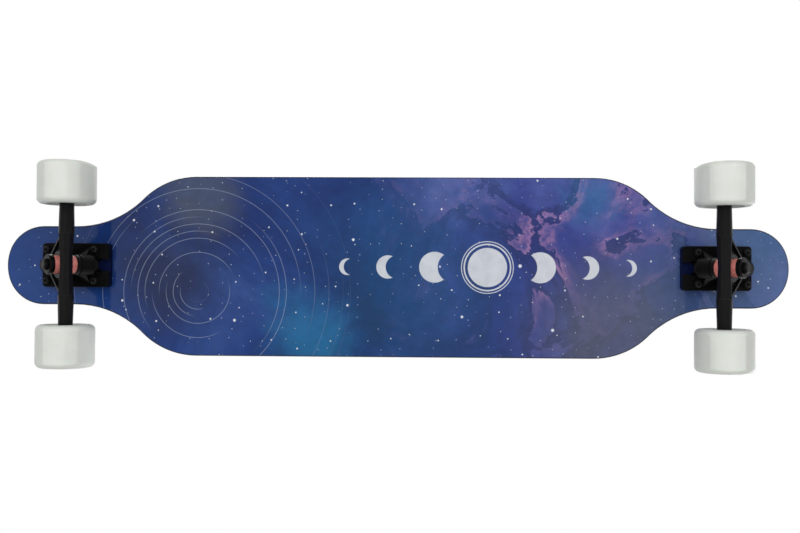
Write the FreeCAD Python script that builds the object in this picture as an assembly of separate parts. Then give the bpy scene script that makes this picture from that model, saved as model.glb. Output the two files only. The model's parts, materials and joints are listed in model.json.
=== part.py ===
"""A longboard skateboard: a maple deck on two reverse-kingpin trucks with four urethane wheels.

Millimetres. +X points to the nose, +Y to the left and +Z up. The origin is on the ground under the middle
of the deck. The front truck is built in place, and the rear one is the same truck turned half round.
"""
import FreeCAD
import Part
import math
import os
from FreeCAD import Vector

# Deck outline, seen from above
DECK_LENGTH = 1041.0
DECK_WIDTH = 241.0
NECK_WIDTH = 105.4
NECK_SETBACK = 93.5
SHOULDER_RADIUS = 100.0
NECK_BLEND_RADIUS = 127.0
TIP_ROUND_SHARE = 1.1765
TIP_CORNER_SHARE = 0.9298

# Deck section: flat in the middle, with rails that curve up along the wide stretch
DECK_THICKNESS = 12.0
RAIL_WIDTH = 45.0
RAIL_RISE = 4.0
DECK_EDGE_RADIUS = 3.0
GRIP_THICKNESS = 0.8
GRIP_MARGIN = 0.2

# Truck: the bolt pattern's middle back from the tip, and places measured outboard from it
TRUCK_SETBACK = 93.1
RING_OUTBOARD = -2.445
KINGPIN_ANGLE = 45.0
AXLE_SETBACK = 21.2
AXLE_RAKE = 4.35

# Mounting hardware, the older long bolt pattern
BOLT_SPACING_LONG = 63.5
BOLT_SPACING_SHORT = 53.98
BOLT_SPACING_ACROSS = 41.28
BOLT_RADIUS = 2.4
BOLT_HEAD_RADIUS = 4.7
BOLT_HEAD_DEPTH = 2.4
BOLT_HEAD_SINK = 0.15
BOLT_SOCKET_ACROSS = 3.0
BOLT_SOCKET_DEPTH = 1.5
BOLT_PROTRUSION = 1.6
BOLT_NUT_ACROSS = 9.5
BOLT_NUT_HEX = 4.2
BOLT_NUT_COLLAR = 1.8
BOLT_CLEARANCE = 0.35

# Riser pad and baseplate
RISER_THICKNESS = 6.4
PLATE_MARGIN_INBOARD = 18.2
PLATE_MARGIN_OUTBOARD = 6.8
PLATE_MARGIN_SIDE = 8.5
PLATE_THICKNESS = 8.6
PLATE_CORNER_RADIUS = 5.0
PLATE_EDGE_RADIUS = 1.3
NOTCH_WIDTH = 15.0
NOTCH_DEPTH = 7.5
BOSS_NUT_CLEARANCE = 1.65
BOSS_LENGTH = 17.5
FLANK_INBOARD_WIDTH = 48.0
FLANK_OUTBOARD_WIDTH = 32.0
FLANK_HEIGHT = 12.0
SPINE_WIDTH = 16.0
SPINE_HEIGHT = 5.0
HOUSING_WALL = 3.2
HOUSING_LENGTH = 14.5
FOOT_INSET = 0.8
DIMPLE_RADIUS = 1.6
DIMPLE_DEPTH = 3.0
DIMPLE_GAP = 3.6

# Kingpin stack
KINGPIN_RADIUS = 4.75
KINGPIN_CLEARANCE = 0.1
KINGPIN_TIP_CHAMFER = 0.4
KINGPIN_PROTRUSION = 0.5
KINGPIN_HEAD_ACROSS = 14.3
KINGPIN_HEAD_HEIGHT = 6.0
KINGPIN_NUT_HEX = 3.2
KINGPIN_NUT_COLLAR = 1.2
HEAD_POCKET_CLEARANCE = 1.0
HEAD_POCKET_LENGTH = 28.0
WASHER_THICKNESS = 2.0
WASHER_LIP_WIDTH = 1.1
WASHER_LIP_HEIGHT = 4.2
BUSHING_RADIUS = 11.8
BUSHING_HEIGHT = 14.85
BUSHING_EDGE_RADIUS = 1.2
BUSHING_CLEARANCE = 0.15

# Hanger
RING_RADIUS = 17.5
RING_THICKNESS = 12.0
RING_SEAT_DEPTH = 2.0
RING_HOLE_RADIUS = 7.0
RING_SEAT_CLEARANCE = 0.3
STACK_CLEARANCE = 0.6
HANGER_WIDTH = 180.0
BAR_WAIST_RADIUS = 7.9
BAR_FACETS = 8
BAR_STEP_RADIUS = 9.9
BAR_MIDDLE_WIDTH = 78.0
BAR_END_RADIUS = 8.7
BAR_SHOULDER_STEP = 1.7
BAR_SHOULDER_LENGTH = 3.0
BAR_END_CHAMFER = 1.2
NECK_BLOCK_WIDTH = 30.0
NECK_BLOCK_SHARE = 0.8
WEB_THICKNESS = 4.0
WEB_INBOARD_WIDTH = 104.0
WEB_OUTBOARD_WIDTH = 24.0
WEB_GAP = 2.0
RIB_WIDTH = 3.4
ARM_RADIUS = 10.5
ARM_NECK_RADIUS = 7.6

# Pivot: the hanger's nose turning in its cup, which the baseplate covers
PIVOT_RADIUS = 6.3
PIVOT_TIP = 39.6
PIVOT_CLEARANCE = 0.1
CUP_WALL = 2.4
CUP_LIP_WIDTH = 1.6
CUP_LIP_THICKNESS = 1.4
CUP_FLOOR = 1.8
CUP_MOUTH = 28.0
CUP_COVER = 7.985
CUP_CLEARANCE = 0.05

# Axle, spacers and nuts
AXLE_RADIUS = 3.97
AXLE_PROTRUSION = 1.0
AXLE_CLEARANCE = 0.03
AXLE_TIP_CHAMFER = 0.7
SPEED_RING_RADIUS = 5.6
SPEED_RING_THICKNESS = 1.0
SPACER_RADIUS = 5.2
SPACER_LENGTH = 10.0
AXLE_NUT_ACROSS = 12.7
AXLE_NUT_HEX = 4.8
AXLE_NUT_COLLAR = 1.8

# Ball bearings: shares are of the section between the axle and the outside
BEARING_RADIUS = 11.0
BEARING_WIDTH = 7.0
OUTER_RACE_SHARE = 0.73
INNER_RACE_SHARE = 0.303
BALL_RADIUS_SHARE = 0.2824
BALL_PITCH_SHARE = 0.509
BALL_COUNT = 7
BALL_CLEARANCE = 0.06
CAGE_THICKNESS_SHARE = 0.1565
CAGE_ROOM_SHARE = 0.509
CAGE_CLEARANCE = 0.1
SHIELD_THICKNESS = 0.5
SHIELD_INSET = 0.1
SHIELD_CLEARANCE = 0.15

# Wheels
WHEEL_RADIUS = 36.0
WHEEL_WIDTH = 54.0
WHEEL_LIP_RADIUS = 7.0
WHEEL_SIDE_WIDTH = 3.5
CORE_RADIUS = 18.0
CORE_WIDTH = 26.0
CORE_LEDGE = 2.0
CORE_CLEARANCE = 0.02

# Shape shares and the overrun of every cut
NUT_CHAMFER_SHARE = 0.14
COLLAR_SHARE = 0.46
NUT_CLEARANCE = 0.03
OVERRUN = 2.0

# Places that follow from the sizes above
KINGPIN_TILT = math.radians(KINGPIN_ANGLE)
KINGPIN_AXIS = Vector(math.cos(KINGPIN_TILT), 0, -math.sin(KINGPIN_TILT))
STEER_AXIS = Vector(math.sin(KINGPIN_TILT), 0, math.cos(KINGPIN_TILT))
ACROSS = Vector(0, 1, 0)
UP = Vector(0, 0, 1)
NECK_STATION = DECK_LENGTH / 2 - NECK_SETBACK
TRUCK_STATION = DECK_LENGTH / 2 - TRUCK_SETBACK
TIP_RADIUS = NECK_WIDTH / 2 * TIP_ROUND_SHARE
TIP_CORNER_RADIUS = NECK_WIDTH / 2 * TIP_CORNER_SHARE
GRIP_INSET = DECK_EDGE_RADIUS + GRIP_MARGIN
NUT_CORNER = BOLT_NUT_ACROSS / 2 / math.cos(math.radians(30))
PLATE_INBOARD = BOLT_SPACING_LONG / 2 + PLATE_MARGIN_INBOARD
PLATE_OUTBOARD = BOLT_SPACING_LONG / 2 + PLATE_MARGIN_OUTBOARD
PLATE_WIDTH = BOLT_SPACING_ACROSS + PLATE_MARGIN_SIDE * 2
DIMPLE_MARGIN = PLATE_EDGE_RADIUS + DIMPLE_RADIUS + DIMPLE_GAP
BOSS_RADIUS = BOLT_SPACING_ACROSS / 2 - NUT_CORNER - BOSS_NUT_CLEARANCE
CUP_RADIUS = PIVOT_RADIUS + PIVOT_CLEARANCE + CUP_WALL
CUP_LIP_RADIUS = CUP_RADIUS + CUP_LIP_WIDTH
CUP_END = PIVOT_TIP + PIVOT_CLEARANCE + CUP_FLOOR
HOUSING_RADIUS = CUP_RADIUS + HOUSING_WALL
WEB_LENGTH = CUP_MOUTH - WEB_GAP
CUP_RISE = CUP_END * math.cos(KINGPIN_TILT) + CUP_RADIUS * math.sin(KINGPIN_TILT)
RING_DROP = RISER_THICKNESS + CUP_COVER + CUP_RISE
AXLE_DROP = RING_DROP + AXLE_SETBACK * math.cos(KINGPIN_TILT) + AXLE_RAKE * math.sin(KINGPIN_TILT)
DECK_BOTTOM = WHEEL_RADIUS + AXLE_DROP
DECK_TOP = DECK_BOTTOM + DECK_THICKNESS
PLATE_TOP_DROP = RISER_THICKNESS + PLATE_THICKNESS
BAR_SHOULDER_RADIUS = BAR_END_RADIUS - BAR_SHOULDER_STEP
BEARING_SECTION = BEARING_RADIUS - AXLE_RADIUS
OUTER_RACE_SHOULDER = AXLE_RADIUS + BEARING_SECTION * OUTER_RACE_SHARE
INNER_RACE_SHOULDER = AXLE_RADIUS + BEARING_SECTION * INNER_RACE_SHARE
BALL_RADIUS = BEARING_SECTION * BALL_RADIUS_SHARE
BALL_PITCH_RADIUS = AXLE_RADIUS + BEARING_SECTION * BALL_PITCH_SHARE
CAGE_THICKNESS = BEARING_SECTION * CAGE_THICKNESS_SHARE
BALL_POCKET_WIDTH = (BALL_RADIUS + CAGE_CLEARANCE) * 2
CAGE_ROOM = BEARING_WIDTH - (SHIELD_INSET + SHIELD_THICKNESS) * 2 - BALL_POCKET_WIDTH
CAGE_WIDTH = BALL_POCKET_WIDTH + CAGE_ROOM * CAGE_ROOM_SHARE
WHEEL_FACE_RADIUS = WHEEL_RADIUS - WHEEL_LIP_RADIUS - WHEEL_SIDE_WIDTH
CORE_BORE_RADIUS = BEARING_RADIUS - CORE_LEDGE
RING_FACE = RING_THICKNESS / 2
SEAT_FACE = RING_FACE - RING_SEAT_DEPTH
STACK_END = SEAT_FACE + BUSHING_HEIGHT
BOSS_SEAT = -(STACK_END + WASHER_THICKNESS)
BOSS_TAIL = BOSS_SEAT - BOSS_LENGTH
WASHER_RADIUS = BUSHING_RADIUS + BUSHING_CLEARANCE + WASHER_LIP_WIDTH
WHEEL_OFFSET = HANGER_WIDTH / 2 + SPEED_RING_THICKNESS + BEARING_WIDTH + SPACER_LENGTH / 2
BEARING_OFFSET = (SPACER_LENGTH + BEARING_WIDTH) / 2
NUT_SEAT = WHEEL_OFFSET + SPACER_LENGTH / 2 + BEARING_WIDTH + SPEED_RING_THICKNESS


def board_point(outboard, across, drop):
    """A point measured outboard from the front bolt pattern's middle, across, and down from the deck."""
    return Vector(TRUCK_STATION + outboard, across, DECK_BOTTOM - drop)


RING_CENTRE = board_point(RING_OUTBOARD, 0, RING_DROP)


def steer_point(along, across, out):
    """A point along the steering axis from the ring, across, and out along the kingpin."""
    return RING_CENTRE + STEER_AXIS * along + ACROSS * across + KINGPIN_AXIS * out


AXLE_CENTRE = steer_point(-AXLE_SETBACK, 0, AXLE_RAKE)


def merged(shape):
    """A solid with its split faces joined, where that leaves it sound."""
    joined = shape.copy().removeSplitter()
    return joined if joined.isValid() else shape


def rod(radius, start, end):
    """A solid cylinder between two points."""
    return Part.makeCylinder(radius, (end - start).Length, start, end - start)


def turned(profile, base, direction):
    """A turned solid: profile pairs are radius and distance along the direction from the base."""
    points = [Vector(radius, 0, distance) for radius, distance in profile]
    face = Part.Face(Part.makePolygon(points + points[:1]))
    solid = face.revolve(Vector(0, 0, 0), UP, 360)
    solid.Placement = FreeCAD.Placement(base, FreeCAD.Rotation(UP, direction))
    return solid


def tube(outer, inner, start, end):
    """A plain tube between two points."""
    length = (end - start).Length
    return turned([(inner, 0), (outer, 0), (outer, length), (inner, length)], start, end - start)


def prism(points, travel):
    """A polygon pushed along a vector."""
    return Part.Face(Part.makePolygon(points + points[:1])).extrude(travel)


def hexagon(across_flats, height, base, direction):
    """A six-sided bar."""
    corner = across_flats / 2 / math.cos(math.radians(30))
    turns = [math.radians(60 * step) for step in range(6)]
    solid = prism([Vector(corner * math.cos(t), corner * math.sin(t), 0) for t in turns], UP * height)
    solid.Placement = FreeCAD.Placement(base, FreeCAD.Rotation(UP, direction))
    return solid


def chamfered_hexagon(across_flats, height, base, direction):
    """A six-sided bar whose corners are turned down at both ends."""
    corner = across_flats / 2 / math.cos(math.radians(30))
    chamfer = across_flats * NUT_CHAMFER_SHARE
    flat = across_flats / 2
    barrel = turned([(0, 0), (flat, 0), (corner, chamfer / 2), (corner, height - chamfer / 2), (flat, height),
                     (0, height)], base, direction)
    return hexagon(across_flats, height, base, direction).common(barrel)


def lock_nut(across_flats, hex_height, collar_height, bore, base, direction):
    """A hexagon nut with the round collar that holds its nylon ring."""
    collar = across_flats * COLLAR_SHARE
    top = hex_height + collar_height
    body = chamfered_hexagon(across_flats, hex_height, base, direction)
    dome = turned([(0, 0), (collar, 0), (collar, hex_height + collar_height / 2),
                   (collar - collar_height / 2, top), (0, top)], base, direction)
    step = direction / direction.Length
    thread = rod(bore, base - step * OVERRUN, base + step * (top + OVERRUN))
    return merged(body.fuse(dome).cut(thread))


def pointed_rod(radius, chamfer, start, end):
    """A rod whose far end is chamfered, as a thread's end is."""
    length = (end - start).Length
    profile = [(0, 0), (radius, 0), (radius, length - chamfer), (radius - chamfer, length), (0, length)]
    return turned(profile, start, end - start)


def is_upright(edge):
    """Whether an edge runs more up than along."""
    return abs(edge.tangentAt(edge.FirstParameter).z) > math.cos(math.radians(45))


def arc(centre, radius, start, end):
    """A flat arc about a centre, with angles in radians."""
    places = [start, (start + end) / 2, end]
    return Part.Arc(*[centre + Vector(math.cos(a), math.sin(a), 0) * radius for a in places]).toShape()


def deck_outline():
    """The deck's closed outline at ground level, from one quarter mirrored both ways."""
    half = DECK_WIDTH / 2
    neck = NECK_WIDTH / 2
    reach = SHOULDER_RADIUS + NECK_BLEND_RADIUS
    rise = reach - (half - neck)
    sweep = math.acos(rise / reach)
    shoulder = Vector(NECK_STATION - reach * math.sin(sweep), half - SHOULDER_RADIUS, 0)
    blend = Vector(NECK_STATION, neck + NECK_BLEND_RADIUS, 0)
    tip = Vector(DECK_LENGTH / 2 - TIP_RADIUS, 0, 0)
    corner_y = neck - TIP_CORNER_RADIUS
    corner_x = tip.x + math.sqrt((TIP_RADIUS - TIP_CORNER_RADIUS) ** 2 - corner_y ** 2)
    corner = Vector(corner_x, corner_y, 0)
    turn = math.atan2(corner.y, corner.x - tip.x)
    quarter = math.pi / 2
    edges = [
        Part.makeLine(Vector(0, half, 0), Vector(shoulder.x, half, 0)),
        arc(shoulder, SHOULDER_RADIUS, quarter, quarter - sweep),
        arc(blend, NECK_BLEND_RADIUS, 3 * quarter - sweep, 3 * quarter),
        Part.makeLine(Vector(NECK_STATION, neck, 0), Vector(corner.x, neck, 0)),
        arc(corner, TIP_CORNER_RADIUS, quarter, turn),
        arc(tip, TIP_RADIUS, turn, 0),
    ]
    edges += [edge.mirror(Vector(0, 0, 0), ACROSS) for edge in edges]
    edges += [edge.mirror(Vector(0, 0, 0), Vector(1, 0, 0)) for edge in edges]
    return Part.Wire(Part.__sortEdges__(edges))


def pressed_slab(low, thickness):
    """A slab of the deck's pressed section, long and wide enough to cut the outline from."""
    half = DECK_WIDTH / 2 + OVERRUN
    flat = DECK_WIDTH / 2 - RAIL_WIDTH
    bend = (RAIL_WIDTH ** 2 + RAIL_RISE ** 2) / (2 * RAIL_RISE)
    start = -DECK_LENGTH / 2 - OVERRUN

    def face_edges(level):
        """The section's curve at one level, from the right rail to the left one."""
        def rail_point(across):
            lift = bend - math.sqrt(bend ** 2 - (abs(across) - flat) ** 2)
            return Vector(start, across, level + lift)
        middle = (half + flat) / 2
        right = [rail_point(-half), rail_point(-middle), rail_point(-flat)]
        left = [rail_point(flat), rail_point(middle), rail_point(half)]
        curve = [Part.Arc(*right).toShape(), Part.makeLine(right[-1], left[0]), Part.Arc(*left).toShape()]
        return curve, right[0], left[-1]

    lower, lower_right, lower_left = face_edges(low)
    upper, upper_right, upper_left = face_edges(low + thickness)
    sides = [Part.makeLine(lower_right, upper_right), Part.makeLine(lower_left, upper_left)]
    wire = Part.Wire(Part.__sortEdges__(lower + upper + sides))
    return Part.Face(wire).extrude(Vector(DECK_LENGTH + OVERRUN * 2, 0, 0))


def outline_prism(wire):
    """Everything above an outline, up past the deck's highest edge."""
    return Part.Face(wire).extrude(UP * (DECK_TOP + RAIL_RISE + DECK_THICKNESS))


def bolt_places():
    """The eight mounting bolts' places from above, four at each end."""
    return [(end * (TRUCK_STATION + along * BOLT_SPACING_LONG / 2), side * BOLT_SPACING_ACROSS / 2)
            for end in (1, -1) for along in (1, -1) for side in (1, -1)]


def bolt_head_top():
    return DECK_TOP + GRIP_THICKNESS - BOLT_HEAD_SINK


def head_seat(x, y, clearance):
    """The countersunk space that a bolt's head and shank take up, widened by a clearance."""
    top = DECK_TOP + GRIP_THICKNESS + OVERRUN
    neck = bolt_head_top() - BOLT_HEAD_DEPTH
    profile = [(0, 0), (BOLT_RADIUS + clearance, 0), (BOLT_RADIUS + clearance, neck - DECK_BOTTOM + OVERRUN),
               (BOLT_HEAD_RADIUS + clearance, bolt_head_top() - DECK_BOTTOM + OVERRUN),
               (BOLT_HEAD_RADIUS + clearance, top - DECK_BOTTOM + OVERRUN), (0, top - DECK_BOTTOM + OVERRUN)]
    return turned(profile, Vector(x, y, DECK_BOTTOM - OVERRUN), UP)


def deck():
    """The pressed maple deck with rounded edges and countersunk bolt holes."""
    outline = deck_outline()
    slab = merged(pressed_slab(DECK_BOTTOM, DECK_THICKNESS).common(outline_prism(outline)))

    def on_outline(edge):
        middle = edge.valueAt((edge.FirstParameter + edge.LastParameter) / 2)
        flat_middle = Part.Vertex(Vector(middle.x, middle.y, 0))
        return not is_upright(edge) and outline.distToShape(flat_middle)[0] < DECK_EDGE_RADIUS / DECK_LENGTH

    rounded = slab.makeFillet(DECK_EDGE_RADIUS, [edge for edge in slab.Edges if on_outline(edge)])
    return rounded.cut([head_seat(x, y, BOLT_CLEARANCE) for x, y in bolt_places()])


def grip_tape():
    """The abrasive sheet on top, trimmed inside the deck's rounded edge."""
    outline = deck_outline().makeOffset2D(-GRIP_INSET)
    sheet = merged(pressed_slab(DECK_TOP, GRIP_THICKNESS).common(outline_prism(outline)))
    return sheet.cut([head_seat(x, y, BOLT_CLEARANCE) for x, y in bolt_places()])


def front_bolt_places():
    """The front bolts' places, measured outboard from their pattern's middle and across."""
    return [(along * BOLT_SPACING_LONG / 2, side * BOLT_SPACING_ACROSS / 2)
            for along in (1, -1) for side in (1, -1)]


def spare_hole_places():
    """The unused holes of the shorter bolt pattern, which shares its inboard pair."""
    outboard = BOLT_SPACING_SHORT - BOLT_SPACING_LONG / 2
    return [(outboard, side * BOLT_SPACING_ACROSS / 2) for side in (1, -1)]


def bolt_hole(outboard, across):
    """A clearance hole down through the riser pad and the baseplate."""
    return rod(BOLT_RADIUS + BOLT_CLEARANCE, board_point(outboard, across, -OVERRUN),
               board_point(outboard, across, PLATE_TOP_DROP + OVERRUN))


def plate_blank(top_drop, bottom_drop):
    """The rounded rectangle that the riser pad and the baseplate share."""
    corner = board_point(-PLATE_INBOARD, -PLATE_WIDTH / 2, bottom_drop)
    blank = Part.makeBox(PLATE_INBOARD + PLATE_OUTBOARD, PLATE_WIDTH, bottom_drop - top_drop, corner)
    uprights = [edge for edge in blank.Edges if is_upright(edge)]
    return blank.makeFillet(PLATE_CORNER_RADIUS, uprights)


def riser_pad():
    """The hard rubber pad between the deck and the baseplate."""
    holes = [bolt_hole(*place) for place in front_bolt_places() + spare_hole_places()]
    return plate_blank(0, RISER_THICKNESS).cut(holes)


def foot_block(start, end, width):
    """A block that stands on the plate's underside and reaches up to a slanted line."""
    start_foot = Vector(start.x, 0, DECK_BOTTOM - RISER_THICKNESS)
    end_foot = Vector(end.x, 0, DECK_BOTTOM - RISER_THICKNESS)
    corners = [point - ACROSS * (width / 2) for point in (start, end, end_foot, start_foot)]
    return prism(corners, ACROSS * width)


def flank_section(outboard, base_width):
    """The boss flanks' section at a place outboard: wide on the plate and narrow at the top."""
    base = base_width / 2
    top = BOSS_RADIUS - FOOT_INSET * 2
    left = [(base, RISER_THICKNESS), (base, PLATE_TOP_DROP), (top, PLATE_TOP_DROP + FLANK_HEIGHT)]
    right = [(-across, drop) for across, drop in reversed(left)]
    corners = [board_point(outboard, across, drop) for across, drop in left + right]
    return Part.makePolygon(corners + corners[:1])


def boss_flanks():
    """The sloping flanks that carry the boss, between the inboard nuts and the boss's seat."""
    seat = steer_point(0, 0, BOSS_SEAT)
    rise = DECK_BOTTOM - PLATE_TOP_DROP - FLANK_HEIGHT - seat.z
    start = NUT_CORNER + BOSS_NUT_CLEARANCE - BOLT_SPACING_LONG / 2
    end = seat.x - TRUCK_STATION + rise * math.tan(KINGPIN_TILT) - FOOT_INSET
    sections = [flank_section(start, FLANK_INBOARD_WIDTH), flank_section(end, FLANK_OUTBOARD_WIDTH)]
    return Part.makeLoft(sections, True, True)


def baseplate():
    """The cast plate with its slanted kingpin boss, pivot housing and the spine that joins them."""
    flange = plate_blank(RISER_THICKNESS, PLATE_TOP_DROP)
    rim_level = DECK_BOTTOM - PLATE_TOP_DROP
    rim = [edge for edge in flange.Edges if edge.BoundBox.ZMax - rim_level < PLATE_EDGE_RADIUS / 2]
    flange = flange.makeFillet(PLATE_EDGE_RADIUS, rim)
    seat = steer_point(0, 0, BOSS_SEAT)
    tail = steer_point(0, 0, BOSS_TAIL)
    boss = rod(BOSS_RADIUS, seat, tail)
    boss_foot = foot_block(steer_point(BOSS_RADIUS, 0, BOSS_SEAT), tail, (BOSS_RADIUS - FOOT_INSET) * 2)
    mouth = steer_point(CUP_MOUTH + CUP_LIP_THICKNESS, 0, 0)
    back = steer_point(CUP_MOUTH + CUP_LIP_THICKNESS + HOUSING_LENGTH, 0, 0)
    housing = rod(HOUSING_RADIUS, mouth, back)
    housing_foot = foot_block(mouth, back, (HOUSING_RADIUS - FOOT_INSET) * 2)
    spine_start = Vector(seat.x, 0, rim_level - SPINE_HEIGHT)
    spine = foot_block(spine_start, Vector(mouth.x, 0, rim_level - SPINE_HEIGHT), SPINE_WIDTH)
    body = flange.fuse([boss, boss_foot, boss_flanks(), housing, housing_foot, spine])
    below_deck = Part.makeBox(PLATE_INBOARD + PLATE_OUTBOARD, PLATE_WIDTH, DECK_BOTTOM - RISER_THICKNESS,
                              Vector(TRUCK_STATION - PLATE_INBOARD, -PLATE_WIDTH / 2, 0))
    body = body.common(below_deck)
    head_corner = KINGPIN_HEAD_ACROSS / 2 / math.cos(math.radians(30))
    pocket = rod(head_corner + HEAD_POCKET_CLEARANCE, tail, steer_point(0, 0, BOSS_TAIL - HEAD_POCKET_LENGTH))
    kingpin_hole = rod(KINGPIN_RADIUS + KINGPIN_CLEARANCE, steer_point(0, 0, BOSS_SEAT + OVERRUN),
                       steer_point(0, 0, BOSS_TAIL - OVERRUN))
    cup_hole = rod(CUP_RADIUS + CUP_CLEARANCE, steer_point(CUP_MOUTH, 0, 0),
                   steer_point(CUP_END + CUP_CLEARANCE, 0, 0))
    lip_seat = rod(CUP_LIP_RADIUS + CUP_CLEARANCE, steer_point(CUP_MOUTH - OVERRUN, 0, 0), mouth)
    notch = Part.makeBox(NOTCH_DEPTH + OVERRUN, NOTCH_WIDTH, PLATE_THICKNESS + OVERRUN * 2,
                         board_point(-PLATE_INBOARD - OVERRUN, -NOTCH_WIDTH / 2, PLATE_TOP_DROP + OVERRUN))
    dimples = [rod(DIMPLE_RADIUS, board_point(-PLATE_INBOARD + DIMPLE_MARGIN, side * BOLT_SPACING_ACROSS / 2,
                                              PLATE_TOP_DROP + OVERRUN),
                   board_point(-PLATE_INBOARD + DIMPLE_MARGIN, side * BOLT_SPACING_ACROSS / 2,
                               PLATE_TOP_DROP - DIMPLE_DEPTH)) for side in (1, -1)]
    holes = [bolt_hole(*place) for place in front_bolt_places() + spare_hole_places()]
    for hollow in [pocket, notch, kingpin_hole, cup_hole, lip_seat] + dimples + holes:
        body = body.cut(hollow)
    return merged(body)


def pivot_cup():
    """The urethane cup that the hanger's nose turns in."""
    ball = steer_point(PIVOT_TIP - PIVOT_RADIUS, 0, 0)
    inner = PIVOT_RADIUS + PIVOT_CLEARANCE
    floor = steer_point(CUP_END, 0, 0)
    body = rod(CUP_RADIUS, steer_point(CUP_MOUTH, 0, 0), floor)
    lip = rod(CUP_LIP_RADIUS, steer_point(CUP_MOUTH, 0, 0), steer_point(CUP_MOUTH + CUP_LIP_THICKNESS, 0, 0))
    hollow = rod(inner, steer_point(CUP_MOUTH - OVERRUN, 0, 0), ball).fuse(Part.makeSphere(inner, ball))
    return merged(body.fuse(lip).cut(hollow))


def kingpin():
    """The kingpin bolt: its hexagon head under the boss, its thread end past the nut."""
    end = STACK_END + WASHER_THICKNESS + KINGPIN_NUT_HEX + KINGPIN_NUT_COLLAR + KINGPIN_PROTRUSION
    shank = pointed_rod(KINGPIN_RADIUS, KINGPIN_TIP_CHAMFER, steer_point(0, 0, BOSS_TAIL),
                        steer_point(0, 0, end))
    head = chamfered_hexagon(KINGPIN_HEAD_ACROSS, KINGPIN_HEAD_HEIGHT,
                             steer_point(0, 0, BOSS_TAIL - KINGPIN_HEAD_HEIGHT), KINGPIN_AXIS)
    return shank.fuse(head)


def kingpin_nut():
    return lock_nut(KINGPIN_HEAD_ACROSS, KINGPIN_NUT_HEX, KINGPIN_NUT_COLLAR, KINGPIN_RADIUS + NUT_CLEARANCE,
                    steer_point(0, 0, STACK_END + WASHER_THICKNESS), KINGPIN_AXIS)


def cup_washer(facing):
    """A dished washer whose lip holds a bushing; facing is 1 on the road side and -1 on the board side."""
    bore = KINGPIN_RADIUS + KINGPIN_CLEARANCE
    lip = WASHER_RADIUS - WASHER_LIP_WIDTH
    depth = WASHER_THICKNESS + WASHER_LIP_HEIGHT
    profile = [(bore, 0), (WASHER_RADIUS - WASHER_LIP_WIDTH, 0), (WASHER_RADIUS, WASHER_LIP_WIDTH),
               (WASHER_RADIUS, depth), (lip, depth), (lip, WASHER_THICKNESS), (bore, WASHER_THICKNESS)]
    return turned(profile, steer_point(0, 0, facing * (STACK_END + WASHER_THICKNESS)), KINGPIN_AXIS * -facing)


def bushing(facing):
    """A barrel bushing between the ring's seat and a cup washer."""
    barrel = tube(BUSHING_RADIUS, KINGPIN_RADIUS + BUSHING_CLEARANCE, steer_point(0, 0, facing * SEAT_FACE),
                  steer_point(0, 0, facing * STACK_END))
    rims = [edge for edge in barrel.Edges
            if len(edge.Vertexes) == 1 and edge.Curve.Radius > (BUSHING_RADIUS + KINGPIN_RADIUS) / 2]
    return barrel.makeFillet(BUSHING_EDGE_RADIUS, rims)


def mounting_bolts():
    """Four countersunk bolts from the deck's top."""
    bolts = []
    for outboard, across in front_bolt_places():
        place = board_point(outboard, across, 0)
        tip = DECK_BOTTOM - PLATE_TOP_DROP - BOLT_NUT_HEX - BOLT_NUT_COLLAR - BOLT_PROTRUSION
        length = bolt_head_top() - tip
        profile = [(0, 0), (BOLT_HEAD_RADIUS, 0), (BOLT_RADIUS, BOLT_HEAD_DEPTH), (BOLT_RADIUS, length),
                   (0, length)]
        top = Vector(place.x, place.y, bolt_head_top())
        socket = hexagon(BOLT_SOCKET_ACROSS, BOLT_SOCKET_DEPTH, top, UP * -1)
        bolts.append(turned(profile, top, UP * -1).cut(socket))
    return Part.makeCompound(bolts)


def mounting_nuts():
    """Four lock nuts under the baseplate."""
    return Part.makeCompound([
        lock_nut(BOLT_NUT_ACROSS, BOLT_NUT_HEX, BOLT_NUT_COLLAR, BOLT_RADIUS + NUT_CLEARANCE,
                 board_point(outboard, across, PLATE_TOP_DROP), UP * -1)
        for outboard, across in front_bolt_places()])


def bar_section(radius, across):
    """The faceted outline of the bar's middle at a place across, with one corner to the road."""
    centre = AXLE_CENTRE + ACROSS * across
    turns = [2 * math.pi * step / BAR_FACETS for step in range(BAR_FACETS)]
    corners = [centre + Vector(math.sin(turn), 0, -math.cos(turn)) * radius for turn in turns]
    return Part.makePolygon(corners + corners[:1])


def hanger_bar():
    """The bar that the axle runs through: two tapered ends on a waisted middle with flat facets."""
    half = HANGER_WIDTH / 2
    middle = BAR_MIDDLE_WIDTH / 2
    shoulder = half - BAR_SHOULDER_LENGTH
    profile = [(0, middle), (BAR_STEP_RADIUS, middle), (BAR_END_RADIUS, shoulder - BAR_END_CHAMFER),
               (BAR_END_RADIUS - BAR_END_CHAMFER, shoulder), (BAR_SHOULDER_RADIUS, shoulder),
               (BAR_SHOULDER_RADIUS, half), (0, half)]
    pieces = []
    for side in (1, -1):
        sections = [bar_section(BAR_WAIST_RADIUS, 0), bar_section(BAR_STEP_RADIUS, side * middle)]
        pieces += [Part.makeLoft(sections, True, True), turned(profile, AXLE_CENTRE, ACROSS * side)]
    return pieces[0].fuse(pieces[1:])


def web_edge(along):
    """The web's half width at a place along the steering axis."""
    reach = (along + AXLE_SETBACK) / (WEB_LENGTH + AXLE_SETBACK)
    return (WEB_INBOARD_WIDTH + (WEB_OUTBOARD_WIDTH - WEB_INBOARD_WIDTH) * reach) / 2


def hanger_rib(side):
    """A rib along one slanted edge of the hanger's web."""
    outer = [(-AXLE_SETBACK, web_edge(-AXLE_SETBACK)), (WEB_LENGTH, web_edge(WEB_LENGTH))]
    inner = [(along, across - RIB_WIDTH) for along, across in reversed(outer)]
    corners = [steer_point(along, side * across, -WEB_THICKNESS / 2) for along, across in outer + inner]
    return prism(corners, KINGPIN_AXIS * (WEB_THICKNESS / 2 + RING_FACE))


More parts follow.
